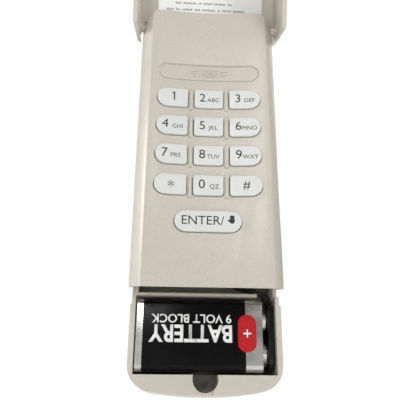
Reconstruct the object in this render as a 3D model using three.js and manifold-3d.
// A wall-mounted garage-door keypad: a two-part plastic case with thirteen sprung keys, a flip-up lid on
// two side pins, and a 9 V block battery in an open bay at the bottom end.
//
// Inside the group, x points right, y up the body from its bottom end, and z out of the wall, all in
// millimetres. The group is turned at the end so that z up is the body's long direction.

import * as THREE from "three";
import { mergeVertices } from "three/addons/utils/BufferGeometryUtils.js";
import Module from "manifold-3d";

// ---------------------------------------------------------------- driving dimensions

const GAP = 0.3; // clearance between two separate pieces
const WALL = 2; // wall of the mouldings

// Case: heights above the wall
const CREST_Z = 33; // the two long edges of the dished face
const DISH = 2; // how far the face's middle lies below them
const CEILING_Z = 29; // inside of the front housing
const PARTING_Z = 12; // where the front housing's skirt ends
const RIM_Z = 20; // rim round the battery bay

// Case: plan
const BASE_HALF = 27.95;
const SKIRT_HALF = 29; // front housing at its foot
const SHOULDER_HALF = 28.5; // front housing where its long bevels begin
const CREST_HALF = 23.8;
const FACE_CORNER = 3.2; // the two corners beside the hinge
const BASE_TOP = 158.3;
const FACE_TOP = 157.9;
const FACE_BOTTOM = 36.6;
const UNDERCUT = 4.2; // how far the front housing's lower edge slopes up towards its foot
const BASE_BOTTOM = 0.8;
const BASE_ARC = 133; // radius of the shallow arc at the bottom end
const BASE_CORNER = 9;
const SHOWN_LAP = { half: 27.35, length: 3.7 }; // narrower part of the base just below the front housing
const MID_Y = 80; // the part's origin, on the back face

// Battery bay
const BAY_HALF = BASE_HALF - WALL;
const BAY_BOTTOM = 8;
const BAY_TOP = 36.2;
const PARTITION = 1;
const LEAD_GAP_X = 19.1; // right end of the partition, where the leads pass
const WELL = { y: 6.5, radius: 4.65, floor: 3, hole: 2.2, skin: 0.8, slotHalf: 3, slotDepth: 1.2 };
const KEYHOLE = { y: 134, radius: 4.4, slotHalf: 2.35, slotTop: 143 };

// Case screws
const POST_X = 20.5;
const POST_YS = [50, 148];
const POST = { radius: 4.2, counterbore: 3.2, counterboreTop: 13, hole: 1.7 };
const SCREW = { headRadius: 2.8, headHeight: 2, shankRadius: 1.35, tip: 26.4 };

// Circuit board and rubber web
const BOARD = { half: 23.5, bottom: 44.2, top: 154.5, z0: 22, z1: 23.6 };
const WEB = {
  z0: 23.9, z1: 25.1, domeTop: 26.1, half: 22.6, enterHalf: 15.5, bottom: 55.8, top: 120.4, step: 69,
};

// Keys
const ROW_YS = [114, 101.35, 88.7, 76.05];
const ENTER_Y = 61.6;
const OPENING_HEIGHT = 8.7;
const OPENING_CORNER = 1.4;
const MIDDLE_HALF = 6.05;
const SIDE_INNER = 8.05;
const SIDE_OUTER = 20.9;
const ENTER_HALF = 12.8;
const KEY_PROUD = 0.9; // key top above the face round it
const FLANGE = 0.9; // how far a key's flange stands out under the face
const FLANGE_Z0 = 27.7;
const FLANGE_Z1 = CEILING_Z - GAP;

// Emblem recess
const LOZENGE = { y: 126.8, half: 20.9, radius: 4, depth: 0.35 };

// Lid, about its hinge axis: -y runs to the free end when the lid is shut
const PIVOT_Y = 153;
const PIVOT_Z = 26;
const LID_OPEN = 160; // degrees from shut to the open stop
const LID = {
  half: 31.6, wall: 1.8, plate: 2, inside: 8, rim: -16.3, earEnd: 3.4, plateStart: -5, end: -155, edge: 1.6,
  corner: 12, arc: 136.65, pinRadius: 2, pinTip: 26.1, bossRadius: 3.3, boss: 0.5,
};
const PIVOT_HOLE = 2.35;
const LABEL = { x0: -22.5, x1: 24.5, y0: -112, y1: -10, thick: 0.2 };

// 9 V battery, lying on its side with its terminals to the right
const BATTERY = {
  x0: -25.5, x1: 20.9, y0: 9, y1: 35.3, z0: 2.3, z1: 19.8, corner: 2.4, crimp: 1.1, recess: 0.9,
};
const TERMINAL_PITCH = 12.7;
const TERMINAL = { x0: 21.2, x1: 22.9, stud: 2.8, ringInner: 3.15, ringOuter: 4.4 };
const CONNECTOR = { x0: 23.2, x1: 25.6, length: 24.6, width: 12.4, corner: 4 };
const LEAD_RADIUS = 0.75;

// ---------------------------------------------------------------- solids and booleans

const wasm = await Module();
wasm.setup();

function solid(geometry) {
  const flat = geometry.index ? geometry.toNonIndexed() : geometry;
  const bare = new THREE.BufferGeometry().setAttribute("position", flat.getAttribute("position"));
  const merged = mergeVertices(bare, 1e-4);
  return new wasm.Manifold(
    new wasm.Mesh({
      numProp: 3,
      vertProperties: merged.attributes.position.array,
      triVerts: new Uint32Array(merged.index.array),
    }),
  );
}

function geometryOf(body) {
  const mesh = body.getMesh();
  const geometry = new THREE.BufferGeometry();
  geometry.setAttribute("position", new THREE.BufferAttribute(mesh.vertProperties, 3));
  geometry.setIndex(new THREE.BufferAttribute(mesh.triVerts, 1));
  geometry.computeVertexNormals();
  return geometry;
}

function join(first, ...rest) {
  return rest.reduce((whole, piece) => whole.add(piece), first);
}

function cut(first, ...rest) {
  return rest.reduce((whole, piece) => whole.subtract(piece), first);
}

function box(x0, x1, y0, y1, z0, z1) {
  const geometry = new THREE.BoxGeometry(x1 - x0, y1 - y0, z1 - z0);
  return solid(geometry.translate((x0 + x1) / 2, (y0 + y1) / 2, (z0 + z1) / 2));
}

// A round bar along z, or along x.
function bar(radius, x, y, z0, z1, sides = 20) {
  const geometry = new THREE.CylinderGeometry(radius, radius, z1 - z0, sides);
  return solid(geometry.rotateX(Math.PI / 2).translate(x, y, (z0 + z1) / 2));
}

function crossBar(radius, x0, x1, y, z, sides = 20) {
  const geometry = new THREE.CylinderGeometry(radius, radius, x1 - x0, sides);
  return solid(geometry.rotateZ(Math.PI / 2).translate((x0 + x1) / 2, y, z));
}

function prism(shape, z0, z1, curveSegments = 6) {
  const geometry = new THREE.ExtrudeGeometry(shape, { depth: z1 - z0, bevelEnabled: false, curveSegments });
  return solid(geometry.translate(0, 0, z0));
}

// A closed solid through a stack of outlines: each ring is { z, points }, with as many points in each.
function loft(rings) {
  const count = rings[0].points.length;
  const positions = rings.flatMap(({ z, points }) => points.flatMap((p) => [p.x, p.y, z]));
  const faces = [];
  for (let r = 0; r + 1 < rings.length; r++) {
    for (let i = 0; i < count; i++) {
      const a = r * count + i;
      const b = r * count + ((i + 1) % count);
      faces.push(a, b, b + count, a, b + count, a + count);
    }
  }
  const lid = (rings.length - 1) * count;
  for (const [a, b, c] of THREE.ShapeUtils.triangulateShape(rings[0].points, [])) faces.push(a, c, b);
  for (const [a, b, c] of THREE.ShapeUtils.triangulateShape(rings.at(-1).points, [])) {
    faces.push(a + lid, b + lid, c + lid);
  }
  const geometry = new THREE.BufferGeometry();
  geometry.setAttribute("position", new THREE.Float32BufferAttribute(positions, 3));
  geometry.setIndex(faces);
  return solid(geometry);
}

// ---------------------------------------------------------------- outlines

function arcPoints(x, y, radius, from, to, steps) {
  return Array.from({ length: steps + 1 }, (_, i) => {
    const angle = THREE.MathUtils.degToRad(from + ((to - from) * i) / steps);
    return new THREE.Vector2(x + radius * Math.cos(angle), y + radius * Math.sin(angle));
  });
}

// Square at the bottom end, rounded at the top corners.
function faceOutline(half, bottom, top, corner) {
  return [
    new THREE.Vector2(-half, bottom),
    new THREE.Vector2(half, bottom),
    ...arcPoints(half - corner, top - corner, corner, 0, 90, 4),
    ...arcPoints(corner - half, top - corner, corner, 90, 180, 4),
  ];
}

// The case's plan: a shallow arc at the bottom end, running smoothly into two round corners.
function plan(half, bottom, top, corner, arc, topCorner) {
  const cornerX = half - corner;
  const lean = THREE.MathUtils.radToDeg(Math.asin(cornerX / (arc - corner)));
  const cornerY = bottom + arc - Math.sqrt((arc - corner) ** 2 - cornerX ** 2);
  return [
    ...arcPoints(0, bottom + arc, arc, -90 - lean, -90 + lean, 6),
    ...arcPoints(cornerX, cornerY, corner, -90 + lean, 0, 5).slice(1),
    ...arcPoints(half - topCorner, top - topCorner, topCorner, 0, 90, 3),
    ...arcPoints(topCorner - half, top - topCorner, topCorner, 90, 180, 3),
    ...arcPoints(-cornerX, cornerY, corner, 180, 270 - lean, 5).slice(0, -1),
  ];
}

function roundedBox(x0, x1, y0, y1, leftCorner, rightCorner) {
  const shape = new THREE.Shape();
  shape.absarc(x1 - rightCorner, y0 + rightCorner, rightCorner, -Math.PI / 2, 0);
  shape.absarc(x1 - rightCorner, y1 - rightCorner, rightCorner, 0, Math.PI / 2);
  shape.absarc(x0 + leftCorner, y1 - leftCorner, leftCorner, Math.PI / 2, Math.PI);
  shape.absarc(x0 + leftCorner, y0 + leftCorner, leftCorner, Math.PI, 1.5 * Math.PI);
  return shape;
}

// ---------------------------------------------------------------- keys' places

const COLUMNS = [
  { x0: -SIDE_OUTER, x1: -SIDE_INNER, roundLeft: true },
  { x0: -MIDDLE_HALF, x1: MIDDLE_HALF },
  { x0: SIDE_INNER, x1: SIDE_OUTER, roundRight: true },
];
const KEY_NAMES = [
  ["key_1", "key_2", "key_3"],
  ["key_4", "key_5", "key_6"],
  ["key_7", "key_8", "key_9"],
  ["key_star", "key_0", "key_hash"],
];
const KEYS = ROW_YS.flatMap((y, row) =>
  COLUMNS.map((column, i) => ({ name: KEY_NAMES[row][i], y, ...column })),
);
KEYS.push({
  name: "key_enter", y: ENTER_Y, x0: -ENTER_HALF, x1: ENTER_HALF, roundLeft: true, roundRight: true,
});

// The outline of a key's opening, grown by a margin.
function keyOutline(key, margin) {
  const halfHeight = OPENING_HEIGHT / 2 + margin;
  const square = Math.max(OPENING_CORNER + margin, 0.5);
  const left = key.roundLeft ? halfHeight - 0.01 : square;
  const right = key.roundRight ? halfHeight - 0.01 : square;
  return roundedBox(key.x0 - margin, key.x1 + margin, key.y - halfHeight, key.y + halfHeight, left, right);
}

// The dished face is part of a cylinder along y. Everything above it is cut away.
const DISH_RADIUS = (CREST_HALF ** 2 + DISH ** 2) / (2 * DISH);
function aboveDish(raise) {
  const geometry = new THREE.CylinderGeometry(DISH_RADIUS - raise, DISH_RADIUS - raise, 200, 180);
  return solid(geometry.translate(0, MID_Y, CREST_Z - DISH + DISH_RADIUS));
}

// ---------------------------------------------------------------- front housing

// Where the front housing's lower edge lies at a height above the wall.
function lowerEdge(z) {
  return FACE_BOTTOM + (UNDERCUT * (CREST_Z - z)) / (CREST_Z - PARTING_Z);
}

function frontHousing() {
  const outside = loft([
    { z: PARTING_Z, points: faceOutline(SKIRT_HALF, lowerEdge(PARTING_Z), FACE_TOP + 0.4, FACE_CORNER) },
    { z: 24.5, points: faceOutline(SHOULDER_HALF, lowerEdge(24.5), FACE_TOP, FACE_CORNER) },
    { z: 26.6, points: faceOutline(SHOULDER_HALF - 0.6, lowerEdge(26.6), FACE_TOP, FACE_CORNER) },
    { z: 32.2, points: faceOutline(CREST_HALF + 0.8, lowerEdge(32.2), FACE_TOP - 0.2, FACE_CORNER) },
    { z: CREST_Z, points: faceOutline(CREST_HALF, FACE_BOTTOM, FACE_TOP - 0.9, FACE_CORNER - 0.4) },
    {
      z: CREST_Z + 0.2,
      points: faceOutline(CREST_HALF - 0.6, FACE_BOTTOM, FACE_TOP - 1.4, FACE_CORNER - 0.8),
    },
  ]);
  const below = FACE_BOTTOM - 1;
  const inside = loft([
    { z: PARTING_Z - 1, points: faceOutline(SKIRT_HALF - WALL, below, FACE_TOP - 1.6, 2.4) },
    { z: 24.5, points: faceOutline(SHOULDER_HALF - WALL, below, FACE_TOP - WALL, 2.4) },
    { z: CEILING_Z, points: faceOutline(24.2, below, FACE_TOP - WALL, 2.4) },
  ]);
  const bulkhead = box(-26.8, 26.8, 42, 43.6, 20.4, 26.5);
  const bulkheadTop = box(-24.6, 24.6, 42, 43.6, 26, CEILING_Z + 0.5);
  const ribs = [-12.4, 12.4].map((x) => box(x - 0.4, x + 0.4, 38.6, 42.5, 24, CEILING_Z + 0.5));
  const bosses = corners((x, y) => bar(3.6, x, y, BOARD.z1 + GAP, CEILING_Z + 0.5, 16));
  const stops = [-14, 14].map((x) => box(x - 2.5, x + 2.5, FACE_TOP - 1, FACE_TOP + 2.1, 15, 19));
  const shell = join(cut(outside, inside), bulkhead, bulkheadTop, ...ribs, ...bosses, ...stops);

  const pilots = corners((x, y) => bar(POST.hole, x, y, BOARD.z1, SCREW.tip + 0.6, 12));
  const openings = KEYS.map((key) => prism(keyOutline(key, 0), CEILING_Z - 1, CREST_Z + 1, 4));
  const hinge = crossBar(PIVOT_HOLE, -SKIRT_HALF - 1, SKIRT_HALF + 1, PIVOT_Y, PIVOT_Z, 16);
  const emblem = cut(prism(lozenge(), CREST_Z - DISH - 1, CREST_Z + 1), prismBelowDish());
  return cut(shell, aboveDish(0), ...pilots, ...openings, hinge, emblem);
}

function corners(make) {
  return [-POST_X, POST_X].flatMap((x) => POST_YS.map((y) => make(x, y)));
}

function lozenge() {
  const { y, half, radius } = LOZENGE;
  return new THREE.Shape([
    ...arcPoints(half - radius, y, radius, -90, 90, 10),
    ...arcPoints(radius - half, y, radius, 90, 270, 10),
  ]);
}

// What the emblem recess leaves standing: the block under a dish as deep as the recess.
function prismBelowDish() {
  const block = box(-30, 30, LOZENGE.y - 10, LOZENGE.y + 10, CREST_Z - DISH - 5, CREST_Z + 5);
  return cut(block, aboveDish(-LOZENGE.depth));
}

// ---------------------------------------------------------------- rear housing

function rearHousing() {
  const outline = new THREE.Shape(plan(BASE_HALF, BASE_BOTTOM, BASE_TOP, BASE_CORNER, BASE_ARC, 3.5));
  const top = BASE_TOP - WALL;
  const lap = 26.2; // half width of the tongue that the front housing's skirt covers
  const shoulder = PARTING_Z - GAP;
  const body = prism(outline, 0, RIM_Z);

  const aroundTongue = cut(
    box(-40, 40, FACE_BOTTOM - GAP, 170, shoulder, RIM_Z + 1),
    prism(new THREE.Shape(faceOutline(lap, 30, FACE_TOP - WALL - 0.4, 2.2)), shoulder - 1, RIM_Z + 2),
  );
  const room = lap - 1;
  const caseRoom = box(-room, room, BAY_TOP + PARTITION, top - 1.6, WALL, RIM_Z + 1);
  const bayBack = box(-BAY_HALF, BAY_HALF, BAY_BOTTOM, BAY_TOP, 1.6, RIM_Z + 1);
  const leadGap = box(LEAD_GAP_X, room, BAY_TOP - 0.5, BAY_TOP + PARTITION + 0.5, WALL, RIM_Z + 1);
  const shownLap = cut(
    box(-40, 40, FACE_BOTTOM - SHOWN_LAP.length, FACE_BOTTOM, shoulder, RIM_Z + 1),
    box(-SHOWN_LAP.half, SHOWN_LAP.half, 30, FACE_BOTTOM + 1, shoulder - 1, RIM_Z + 2),
  );
  const hollow = cut(body, aroundTongue, caseRoom, bayBack, leadGap, shownLap);

  const posts = corners((x, y) => bar(POST.radius, x, y, 1, BOARD.z0 - GAP, 20));
  const partition = box(-BAY_HALF - 0.5, LEAD_GAP_X, BAY_TOP, BAY_TOP + PARTITION, 1, RIM_Z);
  const whole = join(hollow, partition, ...posts);

  const well = bar(WELL.radius, 0, WELL.y, WELL.floor, RIM_Z + 1, 28);
  // The lower screw hole is a knock-out: a thin skin closes it until it is needed.
  const wallScrewHole = bar(WELL.hole, 0, WELL.y, WELL.skin, WELL.floor + 1, 16);
  const slot = box(-WELL.slotHalf, WELL.slotHalf, -1, WELL.y, RIM_Z - WELL.slotDepth, RIM_Z + 1);
  const counterbores = corners((x, y) => bar(POST.counterbore, x, y, -1, POST.counterboreTop, 20));
  const screwHoles = corners((x, y) => bar(POST.hole, x, y, POST.counterboreTop - 1, RIM_Z + 3, 12));
  const keyhole = join(
    bar(KEYHOLE.radius, 0, KEYHOLE.y, -1, WALL + 1, 20),
    box(-KEYHOLE.slotHalf, KEYHOLE.slotHalf, KEYHOLE.y, KEYHOLE.slotTop, -1, WALL + 1),
    bar(KEYHOLE.slotHalf, 0, KEYHOLE.slotTop, -1, WALL + 1, 16),
  );
  return cut(whole, well, wallScrewHole, slot, ...counterbores, ...screwHoles, keyhole, ...coringPockets());
}

// Two pockets from behind keep the bottom land a shell on each side of the screw well.
function coringPockets() {
  const inner = new THREE.Shape(
    plan(BASE_HALF - WALL, BASE_BOTTOM + WALL, BASE_TOP, BASE_CORNER - WALL, BASE_ARC - WALL, 3.5),
  );
  const pocket = prism(inner, -1, RIM_Z - WALL);
  return [-1, 1].map((side) => {
    const [x0, x1] = [side * (WELL.radius + 1.6), side * BASE_HALF].sort((a, b) => a - b);
    return pocket.intersect(box(x0, x1, 0, BAY_BOTTOM - 1.5, -1, RIM_Z));
  });
}

// ---------------------------------------------------------------- lid

function lidShell() {
  const { half, wall, plate, inside, rim, earEnd, plateStart, end, edge, corner, arc } = LID;
  const outer = (inset) => plan(half - inset, end + inset, earEnd, corner - inset, arc - inset, 0.6);
  const outside = loft([
    { z: rim, points: outer(0) },
    { z: inside + plate - edge, points: outer(0) },
    { z: inside + plate - edge * 0.35, points: outer(edge * 0.3) },
    { z: inside + plate, points: outer(edge) },
  ]);
  const hollow = prism(
    new THREE.Shape(plan(half - wall, end + wall, earEnd + 20, corner - wall, arc - wall, 0.6)),
    rim - 1, inside,
  );
  const hingeGap = box(-half + wall, half - wall, plateStart, earEnd + 1, inside - 1, inside + plate + 1);
  const sides = [-1, 1].flatMap((side) => {
    const span = (from, to) => [side * from, side * to].sort((a, b) => a - b);
    const [pin0, pin1] = span(LID.pinTip, half - 0.8);
    const [boss0, boss1] = span(half - wall - LID.boss, half - 0.8);
    return [
      crossBar(LID.pinRadius, pin0, pin1, 0, 0, 16),
      crossBar(LID.bossRadius, boss0, boss1, 0, 0, 20),
    ];
  });
  return join(cut(outside, hollow, hingeGap), ...sides);
}

// ---------------------------------------------------------------- keys and rubber web

function keyCap(key) {
  const flange = prism(keyOutline(key, FLANGE - GAP), FLANGE_Z0, FLANGE_Z1, 2);
  const cap = prism(keyOutline(key, -GAP), FLANGE_Z1 - 0.2, CREST_Z + 2, 3);
  return cut(join(flange, cap), aboveDish(KEY_PROUD));
}

function keymat() {
  const { half, enterHalf, bottom, top, step, z0, z1, domeTop } = WEB;
  const web = join(box(-half, half, step, top, z0, z1), box(-enterHalf, enterHalf, bottom, step + 1, z0, z1));
  const domes = KEYS.map((key) => {
    const middle = (key.x0 + key.x1) / 2;
    const reach = (key.x1 - key.x0) / 2 - 2.6;
    return box(middle - reach, middle + reach, key.y - 2.4, key.y + 2.4, z1 - 0.2, domeTop);
  });
  return join(web, ...domes);
}

// ---------------------------------------------------------------- electronics

function circuitBoard() {
  const { half, bottom, top, z0, z1 } = BOARD;
  const holes = corners((x, y) => bar(POST.hole, x, y, z0 - 1, z1 + 1, 12));
  return cut(prism(roundedBox(-half, half, bottom, top, 1.5, 1.5), z0, z1, 2), ...holes);
}

function antennaCoil() {
  const profile = [[1.9, -4.5], [3, -4.5], [3, 4.5], [1.9, 4.5], [1.9, -4.5]];
  return new THREE.LatheGeometry(profile.map(([r, h]) => new THREE.Vector2(r, h)), 20);
}

function capacitor() {
  const profile = [[0, 0], [2.5, 0], [2.5, 1], [2.3, 1.3], [2.5, 1.6], [2.5, 6], [0, 6]];
  return new THREE.LatheGeometry(profile.map(([r, h]) => new THREE.Vector2(r, h)), 16);
}

// ---------------------------------------------------------------- battery

// A prism along x: its outline lies in the y-z plane, given as length along y and width along z.
function sidePrism(y0, y1, z0, z1, corner, x0, x1) {
  const shape = roundedBox(y0, y1, z0, z1, corner, corner);
  const depth = x1 - x0;
  const geometry = new THREE.ExtrudeGeometry(shape, { depth, bevelEnabled: false, curveSegments: 4 });
  // The extrusion's own x, y, z become y, z, x.
  geometry.applyMatrix4(new THREE.Matrix4().set(0, 0, 1, x0, 1, 0, 0, 0, 0, 1, 0, 0, 0, 0, 0, 1));
  return solid(geometry);
}

function batteryCase() {
  const { x0, x1, y0, y1, z0, z1, corner, crimp, recess } = BATTERY;
  const pocket = (from, to) =>
    sidePrism(y0 + crimp, y1 - crimp, z0 + crimp, z1 - crimp, corner - crimp + 0.4, from, to);
  return cut(
    sidePrism(y0, y1, z0, z1, corner, x0, x1), pocket(x0 - 1, x0 + recess), pocket(x1 - recess, x1 + 1),
  );
}

function batteryPlate(x0, x1) {
  const { y0, y1, z0, z1, corner, crimp } = BATTERY;
  const inset = crimp + GAP;
  return sidePrism(y0 + inset, y1 - inset, z0 + inset, z1 - inset, corner - crimp + 0.2, x0, x1);
}

const TERMINAL_Z = (BATTERY.z0 + BATTERY.z1) / 2;
const TERMINAL_MID = (BATTERY.y0 + BATTERY.y1) / 2;
const POSITIVE_Y = TERMINAL_MID + TERMINAL_PITCH / 2;
const NEGATIVE_Y = TERMINAL_MID - TERMINAL_PITCH / 2;

function contactStud(y, x0, x1) {
  return crossBar(TERMINAL.stud, x0, x1, y, TERMINAL_Z, 18);
}

function contactRing(y, x0, x1) {
  return cut(
    crossBar(TERMINAL.ringOuter, x0, x1, y, TERMINAL_Z, 18),
    crossBar(TERMINAL.ringInner, x0 - 1, x1 + 1, y, TERMINAL_Z, 18),
  );
}

function snapConnector() {
  const { x0, x1, length, width, corner } = CONNECTOR;
  const half = { y: length / 2, z: width / 2 };
  return sidePrism(
    TERMINAL_MID - half.y, TERMINAL_MID + half.y, TERMINAL_Z - half.z, TERMINAL_Z + half.z, corner, x0, x1,
  );
}

// ---------------------------------------------------------------- leads and screws

// Each lead leaves the connector's upper end and runs under the board to a solder point.
const POSITIVE_ROUTE = [
  [24.2, 34.7, 12.6], [23.9, 36.6, 12.7], [22.4, 38.4, 12.9], [18.5, 39.8, 13.5], [13.5, 41.6, 15],
  [11, 45.6, 17.5], [10.5, 49.6, 19.6], [10.4, 51.4, 21.6],
];
const NEGATIVE_ROUTE = [
  [24.2, 34.7, 9.4], [23.9, 36.8, 9.3], [22.2, 38.8, 9.4], [17.5, 40.2, 9.9], [11, 41.8, 11.4],
  [7.6, 45.4, 14.8], [6.8, 49.6, 18.8], [6.6, 51.4, 21.6],
];

function lead(route) {
  const points = route.map((point) => new THREE.Vector3(...point));
  const path = new THREE.CatmullRomCurve3(points, false, "centripetal");
  const section = new THREE.Shape(arcPoints(0, 0, LEAD_RADIUS, 0, 360, 8).slice(0, -1));
  return new THREE.ExtrudeGeometry(section, { steps: 16, extrudePath: path, bevelEnabled: false });
}

function caseScrew(x, y) {
  const headTop = POST.counterboreTop - GAP;
  const headBase = headTop - SCREW.headHeight;
  const head = bar(SCREW.headRadius, x, y, headBase, headTop, 18);
  const shank = bar(SCREW.shankRadius, x, y, headTop - 0.2, SCREW.tip, 10);
  const arms = [
    box(x - 1.7, x + 1.7, y - 0.35, y + 0.35, headBase - 1, headBase + 1.1),
    box(x - 0.35, x + 0.35, y - 1.7, y + 1.7, headBase - 1, headBase + 1.1),
  ];
  return cut(join(head, shank), ...arms);
}

// ---------------------------------------------------------------- materials and assembly

function finish(color, roughness = 0.5, metalness = 0) {
  return new THREE.MeshStandardMaterial({ color, roughness, metalness });
}

const FINISH = {
  housing: () => finish(0xcfc8bc, 0.45),
  keys: () => finish(0xe9ebee, 0.35),
  rubber: () => finish(0xb9b6b0, 0.8),
  board: () => finish(0x2f5a3a, 0.6),
  blackPlastic: () => finish(0x121212, 0.45),
  jacket: () => finish(0x17171a, 0.3, 0.3),
  steel: () => finish(0xc9c9c6, 0.3, 1),
  paper: () => finish(0xf4f4f2, 0.8),
  amber: () => finish(0xe8c27a, 0.3),
  copper: () => finish(0xb87333, 0.35, 1),
};

const keypad = new THREE.Group();
keypad.rotation.x = Math.PI / 2;
keypad.position.z = -MID_Y;

function add(name, shape, material, parent = keypad) {
  const mesh = new THREE.Mesh(shape.isBufferGeometry ? shape : geometryOf(shape), material);
  mesh.name = name;
  parent.add(mesh);
  return mesh;
}

add("rear_housing", rearHousing(), FINISH.housing());
add("front_housing", frontHousing(), FINISH.housing());
for (const key of KEYS) add(key.name, keyCap(key), FINISH.keys());
add("keymat", keymat(), FINISH.rubber());

const lid = new THREE.Group();
lid.position.set(0, PIVOT_Y, PIVOT_Z);
lid.rotation.x = -THREE.MathUtils.degToRad(LID_OPEN);
keypad.add(lid);
add("lid", lidShell(), FINISH.housing(), lid);
const labelTop = LID.inside - GAP;
add(
  "instruction_label",
  box(LABEL.x0, LABEL.x1, LABEL.y0, LABEL.y1, labelTop - LABEL.thick, labelTop), FINISH.paper(), lid,
);

add("circuit_board", circuitBoard(), FINISH.board());
const under = BOARD.z0 - GAP;
add("controller_chip", box(-6, 6, 90, 102, under - 1.5, under), FINISH.blackPlastic());
add("crystal", prism(roundedBox(7, 18, 108, 112.6, 2.2, 2.2), under - 3.4, under, 4), FINISH.steel());
[-12, -5].forEach((x, i) => {
  const mesh = add("capacitor_" + (i + 1), capacitor(), FINISH.blackPlastic());
  mesh.rotation.x = -Math.PI / 2;
  mesh.position.set(x, 112, under);
});
[[-9, 123.6], [9, 123.6], [-19, 61.6], [19, 61.6]].forEach(([x, y], i) => {
  const z = BOARD.z1 + GAP;
  add("led_" + (i + 1), box(x - 1.6, x + 1.6, y - 0.8, y + 0.8, z, z + 1.2), FINISH.amber());
});
const coil = add("antenna_coil", antennaCoil(), FINISH.copper());
coil.rotation.z = Math.PI / 2;
coil.position.set(0, 146, under - 3.2);

const { x0: batteryLeft, x1: batteryRight, recess } = BATTERY;
add("battery_case", batteryCase(), FINISH.jacket());
add("battery_bottom_plate", batteryPlate(batteryLeft, batteryLeft + recess - GAP), FINISH.steel());
add("battery_terminal_plate", batteryPlate(batteryRight - recess + GAP, batteryRight), FINISH.blackPlastic());
add("battery_positive_terminal", contactStud(POSITIVE_Y, TERMINAL.x0, TERMINAL.x1), FINISH.steel());
add("battery_negative_terminal", contactRing(NEGATIVE_Y, TERMINAL.x0, TERMINAL.x1), FINISH.steel());
add("snap_socket", contactRing(POSITIVE_Y, TERMINAL.x0 + 0.4, TERMINAL.x1), FINISH.steel());
add("snap_stud", contactStud(NEGATIVE_Y, TERMINAL.x0 + 0.4, TERMINAL.x1), FINISH.steel());
add("snap_connector", snapConnector(), FINISH.blackPlastic());
add("positive_lead", lead(POSITIVE_ROUTE), FINISH.blackPlastic());
add("negative_lead", lead(NEGATIVE_ROUTE), FINISH.blackPlastic());

corners((x, y) => [x, y]).forEach(([x, y], i) =>
  add("case_screw_" + (i + 1), caseScrew(x, y), FINISH.steel()),
);

export default keypad;
